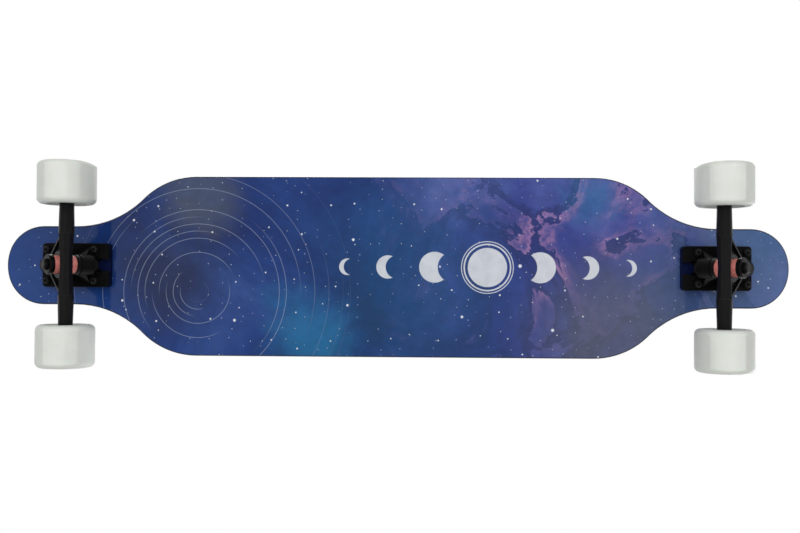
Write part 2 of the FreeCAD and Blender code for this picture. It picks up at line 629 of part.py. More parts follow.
def hanger():
    """The hanger: bar, bushing ring, ribbed web and the arm that ends in the pivot nose."""
    ring = rod(RING_RADIUS, steer_point(0, 0, -RING_FACE), steer_point(0, 0, RING_FACE))
    edges = [(-AXLE_SETBACK, web_edge(-AXLE_SETBACK)), (WEB_LENGTH, web_edge(WEB_LENGTH))]
    corners = edges + [(along, -across) for along, across in reversed(edges)]
    web = prism([steer_point(along, across, -WEB_THICKNESS / 2) for along, across in corners],
                KINGPIN_AXIS * WEB_THICKNESS)
    neck_profile = [(-AXLE_SETBACK, AXLE_RAKE + BAR_WAIST_RADIUS / 2), (-RING_RADIUS / 2, RING_FACE),
                    (-RING_RADIUS / 2, -RING_FACE),
                    (-AXLE_SETBACK, AXLE_RAKE - BAR_WAIST_RADIUS * NECK_BLOCK_SHARE)]
    neck = prism([steer_point(along, -NECK_BLOCK_WIDTH / 2, out) for along, out in neck_profile],
                 ACROSS * NECK_BLOCK_WIDTH)
    arm = turned([(0, 0), (ARM_RADIUS, 0), (ARM_NECK_RADIUS, WEB_LENGTH), (0, WEB_LENGTH)],
                 steer_point(0, 0, 0), STEER_AXIS)
    ball = steer_point(PIVOT_TIP - PIVOT_RADIUS, 0, 0)
    nose = rod(PIVOT_RADIUS, steer_point(WEB_LENGTH / 2, 0, 0), ball)
    nose = nose.fuse(Part.makeSphere(PIVOT_RADIUS, ball))
    body = hanger_bar().fuse([ring, web, neck, arm, nose, hanger_rib(1), hanger_rib(-1)])
    cuts = [rod(RING_HOLE_RADIUS, steer_point(0, 0, -RING_RADIUS), steer_point(0, 0, RING_RADIUS)),
            rod(AXLE_RADIUS + AXLE_CLEARANCE, AXLE_CENTRE - ACROSS * HANGER_WIDTH,
                AXLE_CENTRE + ACROSS * HANGER_WIDTH)]
    for facing in (1, -1):
        outside = facing * (STACK_END + WASHER_THICKNESS + RING_THICKNESS)
        cuts.append(rod(BUSHING_RADIUS + RING_SEAT_CLEARANCE, steer_point(0, 0, facing * SEAT_FACE),
                        steer_point(0, 0, outside)))
        cuts.append(rod(WASHER_RADIUS + STACK_CLEARANCE, steer_point(0, 0, facing * RING_FACE),
                        steer_point(0, 0, outside)))
    return merged(body.cut(cuts))


def axle():
    """The steel axle, threaded at both ends."""
    end = NUT_SEAT + AXLE_NUT_HEX + AXLE_NUT_COLLAR + AXLE_PROTRUSION
    left = pointed_rod(AXLE_RADIUS, AXLE_TIP_CHAMFER, AXLE_CENTRE, AXLE_CENTRE + ACROSS * end)
    right = pointed_rod(AXLE_RADIUS, AXLE_TIP_CHAMFER, AXLE_CENTRE, AXLE_CENTRE - ACROSS * end)
    return merged(left.fuse(right))


def axle_tubes(outer, places, length):
    """Tubes round the axle, starting at each place along both of its ends."""
    return Part.makeCompound([
        tube(outer, AXLE_RADIUS + AXLE_CLEARANCE, AXLE_CENTRE + ACROSS * (side * place),
             AXLE_CENTRE + ACROSS * (side * (place + length)))
        for side in (1, -1) for place in places])


def speed_rings():
    """The thin washers on both sides of each wheel."""
    places = [HANGER_WIDTH / 2, NUT_SEAT - SPEED_RING_THICKNESS]
    return axle_tubes(SPEED_RING_RADIUS, places, SPEED_RING_THICKNESS)


def bearing_spacers():
    """The sleeves between each wheel's two inner races."""
    return axle_tubes(SPACER_RADIUS, [WHEEL_OFFSET - SPACER_LENGTH / 2], SPACER_LENGTH)


def axle_nuts():
    """The lock nuts that hold the wheels on."""
    return Part.makeCompound([
        lock_nut(AXLE_NUT_ACROSS, AXLE_NUT_HEX, AXLE_NUT_COLLAR, AXLE_RADIUS + NUT_CLEARANCE,
                 AXLE_CENTRE + ACROSS * (side * NUT_SEAT), ACROSS * side) for side in (1, -1)])


def race(outer, inner, centre):
    """A bearing race with its ball groove."""
    half = ACROSS * (BEARING_WIDTH / 2)
    groove = Part.makeTorus(BALL_PITCH_RADIUS, BALL_RADIUS + BALL_CLEARANCE, centre, ACROSS)
    return tube(outer, inner, centre - half, centre + half).cut(groove)


def bearing_centres(wheel_centre):
    return [wheel_centre + ACROSS * (side * BEARING_OFFSET) for side in (1, -1)]


def inner_races():
    """The four inner races, clamped on the axle."""
    wheels = [AXLE_CENTRE + ACROSS * (side * WHEEL_OFFSET) for side in (1, -1)]
    return Part.makeCompound([race(INNER_RACE_SHOULDER, AXLE_RADIUS + AXLE_CLEARANCE, centre)
                              for wheel in wheels for centre in bearing_centres(wheel)])


def outer_races(wheel):
    """The two outer races pressed into a wheel's core."""
    return Part.makeCompound([race(BEARING_RADIUS, OUTER_RACE_SHOULDER, centre)
                              for centre in bearing_centres(wheel)])


def ball_centres(centre):
    turns = [2 * math.pi * step / BALL_COUNT for step in range(BALL_COUNT)]
    return [centre + Vector(math.cos(turn), 0, math.sin(turn)) * BALL_PITCH_RADIUS for turn in turns]


def bearing_balls(wheel):
    return Part.makeCompound([Part.makeSphere(BALL_RADIUS, place)
                              for centre in bearing_centres(wheel) for place in ball_centres(centre)])


def bearing_cages(wheel):
    """The rings that keep the balls apart."""
    half = ACROSS * (CAGE_WIDTH / 2)
    cages = []
    for centre in bearing_centres(wheel):
        band = tube(BALL_PITCH_RADIUS + CAGE_THICKNESS / 2, BALL_PITCH_RADIUS - CAGE_THICKNESS / 2,
                    centre - half, centre + half)
        pockets = [rod(BALL_RADIUS + CAGE_CLEARANCE, centre, centre + (place - centre) * 2)
                   for place in ball_centres(centre)]
        cages.append(band.cut(pockets))
    return Part.makeCompound(cages)


def bearing_shields(wheel):
    """Thin shields on both faces of each bearing, carried by the outer race."""
    shields = []
    for centre in bearing_centres(wheel):
        for side in (1, -1):
            outside = centre + ACROSS * (side * (BEARING_WIDTH / 2 - SHIELD_INSET))
            shields.append(tube(OUTER_RACE_SHOULDER, INNER_RACE_SHOULDER + SHIELD_CLEARANCE, outside,
                                outside - ACROSS * (side * SHIELD_THICKNESS)))
    return Part.makeCompound(shields)


def wheel_tyre(wheel):
    """The urethane tyre with rounded lips and dished sides."""
    half = WHEEL_WIDTH / 2
    hub = CORE_WIDTH / 2
    profile = [(CORE_RADIUS, -hub), (WHEEL_FACE_RADIUS, -half), (WHEEL_RADIUS, -half),
               (WHEEL_RADIUS, half), (WHEEL_FACE_RADIUS, half), (CORE_RADIUS, hub)]
    blank = turned(profile, wheel, ACROSS)
    rims = [edge for edge in blank.Edges
            if len(edge.Vertexes) == 1 and edge.Curve.Radius > WHEEL_RADIUS - WHEEL_LIP_RADIUS / 2]
    return blank.makeFillet(WHEEL_LIP_RADIUS, rims)


def wheel_core(wheel):
    """The hard core with a bearing pocket on each side."""
    half = CORE_WIDTH / 2
    pocket = SPACER_LENGTH / 2
    seat = BEARING_RADIUS + CORE_CLEARANCE
    profile = [(seat, -half), (CORE_RADIUS, -half), (CORE_RADIUS, half), (seat, half), (seat, pocket),
               (CORE_BORE_RADIUS, pocket), (CORE_BORE_RADIUS, -pocket), (seat, -pocket)]
    return turned(profile, wheel, ACROSS)


TRUCK_PIECES = {
    "riser_pad": riser_pad,
    "baseplate": baseplate,
    "pivot_cup": pivot_cup,
    "kingpin": kingpin,
    "kingpin_nut": kingpin_nut,
    "roadside_washer": lambda: cup_washer(1),
    "boardside_washer": lambda: cup_washer(-1),
    "roadside_bushing": lambda: bushing(1),
    "boardside_bushing": lambda: bushing(-1),
    "mounting_bolts": mounting_bolts,
    "mounting_nuts": mounting_nuts,
    "hanger": hanger,
    "axle": axle,
    "speed_rings": speed_rings,
    "axle_nuts": axle_nuts,
    "bearing_inner_races": inner_races,
    "bearing_spacers": bearing_spacers,
}
WHEEL_PIECES = {
    "tyre": wheel_tyre,
    "core": wheel_core,
    "bearing_outer_races": outer_races,
    "bearing_shields": bearing_shields,
    "bearing_balls": bearing_balls,
    "bearing_cages": bearing_cages,
}


def build():
    """Every piece of the board by its name."""
    pieces = {"deck": deck(), "grip_tape": grip_tape()}
    for name, make in TRUCK_PIECES.items():
        front = make()
        rear = front.copy()
        rear.rotate(Vector(0, 0, 0), UP, 180)
        pieces["front_" + name] = front
        pieces["rear_" + name] = rear
    for end, direction in (("front", 1), ("rear", -1)):
        for side, across in (("left", 1), ("right", -1)):
            centre = Vector(direction * AXLE_CENTRE.x, across * WHEEL_OFFSET, AXLE_CENTRE.z)
            for name, make in WHEEL_PIECES.items():
                pieces[f"{end}_{side}_{name}"] = make(centre)
    return pieces


os.makedirs("parts", exist_ok=True)
for node, shape in build().items():
    shape.exportStep(f"parts/{node}.step")
    print(node, len(shape.Solids), "solids", shape.isValid(), round(shape.Volume, 1))
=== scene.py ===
"""Looks of the longboard: materials, printed deck, soft bushings, threads, stage, light and camera."""
import json
import math

import bpy
from mathutils import Matrix, Vector


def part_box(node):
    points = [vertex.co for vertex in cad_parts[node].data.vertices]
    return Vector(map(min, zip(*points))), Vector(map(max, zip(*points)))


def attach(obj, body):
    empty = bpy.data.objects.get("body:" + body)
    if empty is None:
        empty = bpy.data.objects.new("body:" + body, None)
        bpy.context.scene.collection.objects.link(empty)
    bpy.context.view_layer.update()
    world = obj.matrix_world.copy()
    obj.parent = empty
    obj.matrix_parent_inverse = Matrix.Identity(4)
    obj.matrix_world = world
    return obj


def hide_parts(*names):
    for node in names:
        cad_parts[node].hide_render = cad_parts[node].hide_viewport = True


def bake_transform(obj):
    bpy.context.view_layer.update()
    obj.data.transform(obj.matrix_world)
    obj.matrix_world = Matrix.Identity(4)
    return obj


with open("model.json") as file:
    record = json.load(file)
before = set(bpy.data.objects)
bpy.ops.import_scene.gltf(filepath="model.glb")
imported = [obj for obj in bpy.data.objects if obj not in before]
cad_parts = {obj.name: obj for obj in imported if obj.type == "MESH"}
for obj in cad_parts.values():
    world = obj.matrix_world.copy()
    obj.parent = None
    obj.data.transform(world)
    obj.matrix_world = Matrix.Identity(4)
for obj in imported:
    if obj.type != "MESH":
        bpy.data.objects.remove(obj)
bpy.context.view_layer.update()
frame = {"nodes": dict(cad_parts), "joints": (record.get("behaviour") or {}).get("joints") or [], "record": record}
nodes = frame["nodes"]
scene = bpy.context.scene
scene.view_settings.view_transform = "Standard"

MM = 0.001
ENDS = (("front", 1), ("rear", -1))
SIDES = (("left", 1), ("right", -1))
JOINTS = {joint["name"]: joint for joint in frame["joints"]}

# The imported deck, in metres; its sides rise in an arc over the rail's width
DECK_LOW, DECK_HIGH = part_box("deck")
DECK_BOTTOM = DECK_LOW.z
DECK_HALF_WIDTH = (DECK_HIGH.y - DECK_LOW.y) / 2
DECK_THICKNESS = 12.0 * MM
RAIL_WIDTH = 45.0 * MM
RAIL_RISE = 4.0 * MM

BEVEL_SAMPLES = 6


class Nodes:
    """A node tree, built by short calls that return sockets."""

    def __init__(self, tree):
        self.tree = tree

    def put(self, socket, value):
        """Links a socket or sets its plain value."""
        if isinstance(value, bpy.types.NodeSocket):
            self.tree.links.new(value, socket)
        elif isinstance(value, (tuple, list)) and socket.type == "RGBA" and len(value) == 3:
            socket.default_value = (*value, 1.0)
        else:
            socket.default_value = value

    def add(self, kind, inputs=None, **settings):
        node = self.tree.nodes.new(kind)
        for name, value in settings.items():
            setattr(node, name, value)
        for name, value in (inputs or {}).items():
            self.put(node.inputs[name], value)
        return node

    def calc(self, operation, a, b=0.0):
        return self.add("ShaderNodeMath", {0: a, 1: b}, operation=operation).outputs[0]

    def product(self, first, *others):
        for other in others:
            first = self.calc("MULTIPLY", first, other)
        return first

    def vector(self, operation, a, b=(0.0, 0.0, 0.0)):
        node = self.add("ShaderNodeVectorMath", {0: a}, operation=operation)
        self.put(node.inputs["Scale"] if operation == "SCALE" else node.inputs[1], b)
        return node.outputs["Value" if operation in ("DISTANCE", "LENGTH", "DOT_PRODUCT") else "Vector"]

    def split(self, vector):
        return self.add("ShaderNodeSeparateXYZ", {0: vector}).outputs

    def join(self, x, y, z):
        return self.add("ShaderNodeCombineXYZ", {0: x, 1: y, 2: z}).outputs[0]

    def fade(self, value, low, high, start=0.0, end=1.0):
        """A smooth step from start at low to end at high."""
        limits = {"Value": value, "From Min": low, "From Max": high, "To Min": start, "To Max": end}
        return self.add("ShaderNodeMapRange", limits, interpolation_type="SMOOTHSTEP").outputs["Result"]

    def span(self, value, start, end):
        """Maps 0 to 1 onto a range."""
        limits = {"Value": value, "To Min": start, "To Max": end}
        return self.add("ShaderNodeMapRange", limits).outputs["Result"]

    def mix(self, share, a, b):
        """Mixes two colours."""
        node = self.add("ShaderNodeMix", data_type="RGBA")
        for index, value in ((0, share), (6, a), (7, b)):
            self.put(node.inputs[index], value)
        return node.outputs[2]

    def mix_shaders(self, share, a, b):
        return self.add("ShaderNodeMixShader", {0: share, 1: a, 2: b}).outputs[0]

    def ramp(self, value, stops):
        node = self.add("ShaderNodeValToRGB", {0: value})
        elements = node.color_ramp.elements
        while len(elements) < len(stops):
            elements.new(0.5)
        for element, (place, colour) in zip(elements, stops):
            element.position = place
            element.color = (*colour, 1.0)
        return node.outputs[0]


class Look(Nodes):
    """A material with one principled shader, in the part's own coordinates."""

    def __init__(self, name):
        self.material = bpy.data.materials.new(name)
        self.material.use_nodes = True
        super().__init__(self.material.node_tree)
        self.tree.nodes.clear()
        self.shader = self.add("ShaderNodeBsdfPrincipled")
        self.add("ShaderNodeOutputMaterial", {0: self.shader.outputs[0]})
        self.place = self.add("ShaderNodeTexCoord").outputs["Object"]

    def surface(self, **values):
        """Sets the shader's sockets, with underscores for the spaces in their names."""
        for name, value in values.items():
            self.put(self.shader.inputs[name.replace("_", " ")], value)
        return self.material

    def noise(self, scale, detail=3.0, rough=0.5, twist=0.0, at=None):
        inputs = {"Vector": at or self.place, "Scale": scale, "Detail": detail, "Roughness": rough}
        return self.add("ShaderNodeTexNoise", {**inputs, "Distortion": twist}).outputs[0]

    def cells(self, scale, at=None, dimensions="3D"):
        inputs = {"Vector": at or self.place, "Scale": scale}
        node = self.add("ShaderNodeTexVoronoi", inputs, voronoi_dimensions=dimensions)
        return node.outputs["Distance"], node.outputs["Color"]

    def round_edges(self, radius):
        return self.add("ShaderNodeBevel", {"Radius": radius}, samples=BEVEL_SAMPLES).outputs[0]

    def relief(self, height, strength, depth, corner=None):
        """A fine relief, over rounded edges where a corner radius is given."""
        node = self.add("ShaderNodeBump", {"Height": height, "Strength": strength, "Distance": depth})
        if corner is not None:
            self.put(node.inputs["Normal"], self.round_edges(corner))
        return node.outputs[0]

    def edge_wear_and_highlight(self, radius, low, high):
        """How far a surface bends within a radius, which is high along its edges."""
        normal = self.add("ShaderNodeNewGeometry").outputs["Normal"]
        bent = self.vector("DOT_PRODUCT", self.round_edges(radius), normal)
        return self.fade(bent, high, low)


def casting(name, shine):
    """Black powder coat: fine orange-peel grain, soft corners, and edges lighter from slight wearing and a painted
    highlight.
    """
    dark = (0.0012, 0.0012, 0.0013)
    light = (0.0032, 0.0031, 0.0031)
    worn_and_lit = (0.045, 0.044, 0.043)
    look = Look(name)
    grain = look.noise(scale=1500.0, rough=0.6)
    patch = look.noise(scale=70.0, detail=4.0, rough=0.6)
    # Lighter edges: partly wearing, partly painted highlight where edges catch light
    edges = look.edge_wear_and_highlight(radius=0.9 * MM, low=0.8, high=0.98)
    wear_and_highlight = look.product(edges, look.fade(patch, 0.3, 0.7, start=0.25, end=0.8))
    return look.surface(
        Base_Color=look.mix(wear_and_highlight, look.mix(patch, dark, light), worn_and_lit),
        Roughness=look.span(patch, 0.3, 0.48),
        Specular_IOR_Level=shine,
        Normal=look.relief(grain, strength=0.22, depth=0.15 * MM, corner=0.5 * MM))


def black_steel():
    """Steel with a black oxide finish, lighter along the edges from rubbing and a painted highlight."""
    dark = (0.003, 0.003, 0.0033)
    light = (0.009, 0.0088, 0.0085)
    rubbed_and_lit = (0.11, 0.107, 0.103)
    wear_and_highlight_strength = 0.4
    look = Look("black_oxide_steel")
    grain = look.noise(scale=2600.0, detail=2.0)
    patch = look.noise(scale=160.0, detail=5.0, rough=0.65)
    # Lighter edges: partly rubbing, partly painted highlight where edges catch light
    wear_and_highlight = look.product(look.edge_wear_and_highlight(radius=0.5 * MM, low=0.8, high=0.97), wear_and_highlight_strength)
    return look.surface(
        Base_Color=look.mix(wear_and_highlight, look.mix(patch, dark, light), rubbed_and_lit),
        Metallic=0.35,
        Roughness=look.span(patch, 0.28, 0.5),
        Specular_IOR_Level=0.12,
        Normal=look.relief(grain, strength=0.12, depth=0.05 * MM, corner=0.25 * MM))


def bright_steel():
    """Zinc-plated or ground steel, faintly clouded."""
    cool = (0.54, 0.545, 0.55)
    warm = (0.68, 0.675, 0.655)
    look = Look("bright_zinc_steel")
    grain = look.noise(scale=3000.0, detail=2.0)
    patch = look.noise(scale=220.0, detail=5.0, rough=0.6)
    cloud = look.noise(scale=45.0)
    return look.surface(
        Base_Color=look.mix(cloud, cool, warm),
        Metallic=1.0,
        Roughness=look.span(patch, 0.18, 0.38),
        Normal=look.relief(grain, strength=0.08, depth=0.04 * MM, corner=0.2 * MM))


def urethane(name, dark, light, rough, glow, depth, turning):
    """Cast urethane: faint mottling, light that sinks in a little, and fine lines of turning."""
    line_height = 0.3
    look = Look(name)
    patch = look.noise(scale=38.0, detail=4.0, rough=0.55)
    speck = look.noise(scale=900.0, detail=2.0)
    lines = look.calc("SINE", look.product(look.split(look.place)[1], turning))
    height = look.calc("ADD", look.product(lines, line_height), speck)
    return look.surface(
        Base_Color=look.mix(look.fade(patch, 0.3, 0.7), dark, light),
        Roughness=look.span(patch, rough - 0.06, rough + 0.07),
        Specular_IOR_Level=0.35,
        Subsurface_Weight=glow,
        Subsurface_Radius=(1.0, 0.75, 0.6),
        Subsurface_Scale=depth,
        Normal=look.relief(height, strength=0.1, depth=0.06 * MM, corner=0.4 * MM))


def plain_polymer(name, dark, light, rough, grain, shine=0.5):
    """Moulded rubber or nylon with a fine grain."""
    look = Look(name)
    patch = look.noise(scale=60.0, detail=4.0, rough=0.6)
    fine = look.noise(scale=grain, rough=0.65)
    return look.surface(
        Base_Color=look.mix(patch, dark, light),
        Roughness=look.span(patch, rough - 0.08, rough + 0.08),
        Specular_IOR_Level=shine,
        Normal=look.relief(fine, strength=0.3, depth=0.12 * MM, corner=0.3 * MM))


def grip():
    """Coarse black grit in resin, with a few grains that glint and greyer areas from wearing."""
    dark = (0.008, 0.008, 0.009)
    light = (0.034, 0.034, 0.036)
    dust = (0.045, 0.044, 0.043)
    spark = (0.22, 0.22, 0.23)
    look = Look("grip_grit")
    distance, colour = look.cells(scale=1900.0)
    shade = look.split(colour)[0]
    patch = look.noise(scale=9.0, detail=5.0, rough=0.6)
    dusty = look.mix(look.fade(patch, 0.45, 0.75, end=0.5), look.mix(shade, dark, light), dust)
    glint = look.fade(shade, 0.96, 0.99)
    return look.surface(
        Base_Color=look.mix(glint, dusty, spark),
        Roughness=look.span(glint, 0.92, 0.35),
        Normal=look.relief(look.calc("SUBTRACT", shade, distance), strength=0.9, depth=0.35 * MM))


# Printed underside: places and sizes in millimetres on the deck, x along it and y across
# Trails: a line's half width is a share of the step, and its length is set by levels of a sine wave
TRAIL_POLE = (-262.0, 34.0, 0.0)
TRAIL_STEP = 9.5
TRAIL_REACH = (12.0, 205.0)
TRAIL_LINE = (0.062, 0.02)
TRAIL_BEGINS = (-0.5, 0.5)
TRAIL_FULL = (0.35, 0.95)
TRAIL_FAINT = 0.12
TRAIL_FAINT_FROM = 0.6
TRAIL_STRENGTH = 0.4
TRAIL_COLOUR = (0.5, 0.58, 0.76)
# Each moon: place along the deck, radius, and how far its shaded side is shifted, in radii
MOONS = ((-62.0, 11.0, 0.55), (-8.0, 15.5, 0.8), (54.0, 20.5, 1.2), (124.0, 26.0, 0.0),
         (194.0, 20.5, -1.2), (256.0, 15.5, -0.8), (310.0, 11.0, -0.55))
MOON_SOFT = 0.45
MOON_MOTTLE = (0.62, 1.0)
MOON_COLOUR = (0.9, 0.93, 0.98)
# Each ring round the full moon: radius as a share of the moon's, and half its width
MOON_RINGS = ((1.18, 0.9), (1.32, 0.5))
MOON_RING_SOFT = (0.4, -0.3)
# Each star layer: cells per metre, star size in cells, share left out and strength
STAR_LAYERS = ((70.0, 0.050, 0.55, 0.55), (26.0, 0.036, 0.5, 0.85), (9.5, 0.022, 0.35, 1.0))
# Smallest and largest star, as shares of its layer's size, and the share that is full white
STAR_SIZES = (0.5, 1.25)
STAR_SOFT = 0.55
STAR_COLOUR = (0.88, 0.92, 1.0)
# The sky is blue on the left and turns violet on the right, along a wavering front
NIGHT_BLUE = ((0.32, (0.001, 0.006, 0.055)), (0.45, (0.003, 0.023, 0.15)),
              (0.56, (0.009, 0.046, 0.225)), (0.7, (0.035, 0.09, 0.31)))
NIGHT_VIOLET = ((0.3, (0.008, 0.018, 0.16)), (0.44, (0.034, 0.053, 0.285)),
                (0.56, (0.08, 0.118, 0.4)), (0.7, (0.16, 0.195, 0.5)))
VIOLET_FROM = (-30.0, 140.0)
SKY_WAVER = 150.0
SKY_MOTTLE = (0.72, 1.28)
# Levels of the noise between which the clouds and their shadows come in and fade out
SHADOW_IN = (0.4, 0.49)
SHADOW_OUT = (0.508, 0.494)
CLOUD_IN = (0.495, 0.512)
CLOUD_OUT = (0.64, 0.505)
CLOUD_INWARD = (0.505, 0.57)
CLOUD_BREAKS = (0.4, 0.66)
CLOUD_WISPS = (0.3, 0.62)
CLOUD_CENTRE = (205.0, -42.0)
CLOUD_REACH = 210.0
CLOUD_THINNED = 0.4
CLOUD_STRENGTH = 0.8
CLOUD_RIM = (0.52, 0.265, 0.5)
CLOUD_DEPTH = (0.2, 0.135, 0.37)
CLOUD_SHADOW = (0.016, 0.022, 0.125)
SHADOW_STRENGTH = 0.62
# Each soft spot: centre, reach, strength and colour
TEAL = (0.012, 0.2, 0.42)
TEAL_SPOTS = (
    ((-118.0, 92.0), 84.0, 0.62, TEAL),
    ((262.0, -96.0), 62.0, 0.4, TEAL),
    ((474.0, -36.0), 84.0, 0.32, TEAL),
    ((30.0, 30.0), 215.0, 0.2, TEAL),
)
TEAL_WAVER = 60.0
# Of these, the two grey spots on the shoulders, at (-262, -96) and (300, 92), are painted reflection, a grey sheen
# of the lacquer; the others are print colour
MUTED_AND_REFLECTION_SPOTS = (
    ((-300.0, 10.0), 135.0, 0.75, (0.02, 0.024, 0.062)),
    ((-262.0, -96.0), 78.0, 0.6, (0.1, 0.125, 0.18)),
    ((300.0, 92.0), 150.0, 0.62, (0.135, 0.15, 0.19)),
    ((-486.0, 0.0), 170.0, 0.6, (0.026, 0.08, 0.285)),
    ((478.0, 0.0), 190.0, 0.75, (0.066, 0.138, 0.29)),
)
MUTED_WAVER = 90.0
SPOT_HEART = 0.15


def star_field(look, metres):
    """Three layers of round white stars."""
    small, large = STAR_SIZES
    total = 0.0
    for scale, size, left_out, strength in STAR_LAYERS:
        distance, colour = look.cells(scale, metres, "2D")
        chance, brightness, _ = look.split(colour)
        radius = look.span(brightness, size * small, size * large)
        dot = look.fade(distance, radius, look.product(radius, STAR_SOFT))
        kept = look.product(dot, look.calc("GREATER_THAN", chance, left_out), strength)
        total = look.calc("ADD", total, kept)
    return look.calc("MINIMUM", total, 1.0)


def trail_lines(look, flat):
    """Fine arcs about one pole, each ring broken into its own lengths and fainter far out."""
    inner, outer = TRAIL_REACH
    offset = look.vector("SUBTRACT", flat, TRAIL_POLE)
    radius = look.vector("LENGTH", offset)
    x, y, _ = look.split(offset)
    angle = look.calc("ARCTAN2", y, x)
    steps_out = look.calc("DIVIDE", radius, TRAIL_STEP)
    off_line = look.calc("ABSOLUTE", look.calc("SUBTRACT", look.calc("FRACT", steps_out), 0.5))
    ring = look.calc("FLOOR", steps_out)
    chance = look.add("ShaderNodeTexWhiteNoise", {"W": ring}, noise_dimensions="1D").outputs["Value"]
    wave = look.calc("SINE", look.calc("ADD", angle, look.product(chance, math.tau)))
    length = look.fade(wave, look.span(chance, *TRAIL_BEGINS), look.span(chance, *TRAIL_FULL))
    near = look.fade(radius, inner, inner + TRAIL_STEP)
    far = look.fade(radius, outer, outer * TRAIL_FAINT_FROM, start=TRAIL_FAINT)
    inside = look.calc("LESS_THAN", radius, outer)
    return look.product(look.fade(off_line, *TRAIL_LINE), length, near, inside, far)


def disc(look, flat, x, radius):
    away = look.vector("DISTANCE", flat, (x, 0.0, 0.0))
    return look.fade(away, radius + MOON_SOFT, radius - MOON_SOFT)


def moon_row(look, flat):
    """Seven moons in a row, thinner to both sides, with two fine rings round the full one."""
    total = 0.0
    for x, radius, shift in MOONS:
        shape = disc(look, flat, x, radius)
        if shift:
            shade = disc(look, flat, x + shift * radius, radius)
            shape = look.product(shape, look.calc("SUBTRACT", 1.0, shade))
        else:
            away = look.vector("DISTANCE", flat, (x, 0.0, 0.0))
            for share, half_width in MOON_RINGS:
                gap = look.calc("ABSOLUTE", look.calc("SUBTRACT", away, radius * share))
                line = look.fade(gap, half_width + MOON_RING_SOFT[0], half_width + MOON_RING_SOFT[1])
                shape = look.calc("MAXIMUM", shape, line)
        total = look.calc("MAXIMUM", total, shape)
    return total


def soft_spot(look, flat, centre, reach, waver):
    """A soft round patch whose rim wavers."""
    away = look.calc("ADD", look.vector("DISTANCE", flat, (*centre, 0.0)), waver)
    return look.fade(away, reach, reach * SPOT_HEART)


def add_spots(look, sky, flat, spots, waver):
    """Lays soft spots of colour over the sky."""
    for centre, reach, strength, colour in spots:
        share = look.product(soft_spot(look, flat, centre, reach, waver), strength)
        sky = look.mix(share, sky, colour)
    return sky


def deck_print(look, flat, metres):
    """A night sky in deep blue and violet, with cloud fronts, stars, trail lines and moons."""
    wash = look.noise(scale=3.4, detail=7.0, rough=0.58, twist=0.7, at=metres)
    fine = look.noise(scale=8.5, detail=9.0, rough=0.62, twist=1.3, at=metres)
    front = look.noise(scale=6.0, detail=11.0, rough=0.6, twist=1.1, at=metres)
    wisp = look.noise(scale=24.0, detail=8.0, rough=0.65, twist=0.8, at=metres)
    mottle = look.noise(scale=70.0, detail=5.0, rough=0.65, at=metres)
    craters = look.noise(scale=62.0, detail=5.0, rough=0.6, twist=0.4, at=metres)
    waver = look.span(fine, -SKY_WAVER, SKY_WAVER)
    right = look.fade(look.calc("ADD", look.split(flat)[0], waver), *VIOLET_FROM)
    sky = look.mix(right, look.ramp(wash, NIGHT_BLUE), look.ramp(wash, NIGHT_VIOLET))

    behind = look.product(look.fade(front, *SHADOW_IN), look.fade(front, *SHADOW_OUT))
    shadow = look.product(look.fade(behind, 0.0, 1.0), right, SHADOW_STRENGTH)
    sky = look.mix(shadow, sky, CLOUD_SHADOW)
    core = soft_spot(look, flat, CLOUD_CENTRE, CLOUD_REACH, waver)
    cloud = look.product(
        look.fade(front, *CLOUD_IN), look.fade(front, *CLOUD_OUT),
        look.fade(fine, *CLOUD_BREAKS, start=0.1), look.fade(wisp, *CLOUD_WISPS, start=0.35),
        look.span(core, CLOUD_THINNED, 1.0))
    glow = look.mix(look.fade(front, *CLOUD_INWARD), CLOUD_RIM, CLOUD_DEPTH)
    sky = look.mix(look.product(cloud, right, CLOUD_STRENGTH), sky, glow)

    sky = add_spots(look, sky, flat, TEAL_SPOTS, look.span(fine, -TEAL_WAVER, TEAL_WAVER))
    # Muted print spots, with two grey spots of painted reflection on the shoulders
    sky = add_spots(look, sky, flat, MUTED_AND_REFLECTION_SPOTS, look.span(wash, -MUTED_WAVER, MUTED_WAVER))
    sky = look.vector("SCALE", sky, look.span(mottle, *SKY_MOTTLE))
    sky = look.mix(look.product(trail_lines(look, flat), TRAIL_STRENGTH), sky, TRAIL_COLOUR)
    sky = look.mix(star_field(look, metres), sky, STAR_COLOUR)
    moons = look.product(moon_row(look, flat), look.span(craters, *MOON_MOTTLE))
    return look.mix(moons, sky, MOON_COLOUR)


# Wood of the deck; levels are shares of its thickness, from the underside up
GRAIN_STRETCH = (9.0, 260.0, 260.0)
GRAIN_FADE = (0.3, 0.72)
MAPLE_DARK = (0.5, 0.315, 0.155)
MAPLE_LIGHT = (0.68, 0.48, 0.275)
PLIES = 8.0
PLY_DARK = (0.3, 0.165, 0.075)
PLY_STRENGTH = 0.6
GLUE_LINE = (0.43, 0.49)
GLUE_COLOUR = (0.11, 0.06, 0.03)
GLUE_STRENGTH = 0.75
PRINT_LEVEL = (0.29, 0.26)
TOP_LEVEL = (0.86, 0.9)
# Painted shade: above the flat underside the rounded lower edge turns dark navy, for the lacquer turning away from
# the light
RIM_SHADE_LEVEL = (0.006, 0.028)
RIM_SHADE_COLOUR = (0.003, 0.004, 0.018)
RIM_SHADE_STRENGTH = 0.9


def deck_level(look, y, z):
    """The height within the deck's thickness, measured from its curved underside."""
    bend = (RAIL_WIDTH ** 2 + RAIL_RISE ** 2) / (2 * RAIL_RISE)
    past = look.calc("SUBTRACT", look.calc("ABSOLUTE", y), DECK_HALF_WIDTH - RAIL_WIDTH)
    past = look.calc("MAXIMUM", past, 0.0)
    lift = look.calc("DIVIDE", look.product(past, past), 2 * bend)
    height = look.calc("SUBTRACT", look.calc("SUBTRACT", z, DECK_BOTTOM), lift)
    return look.calc("DIVIDE", height, DECK_THICKNESS)


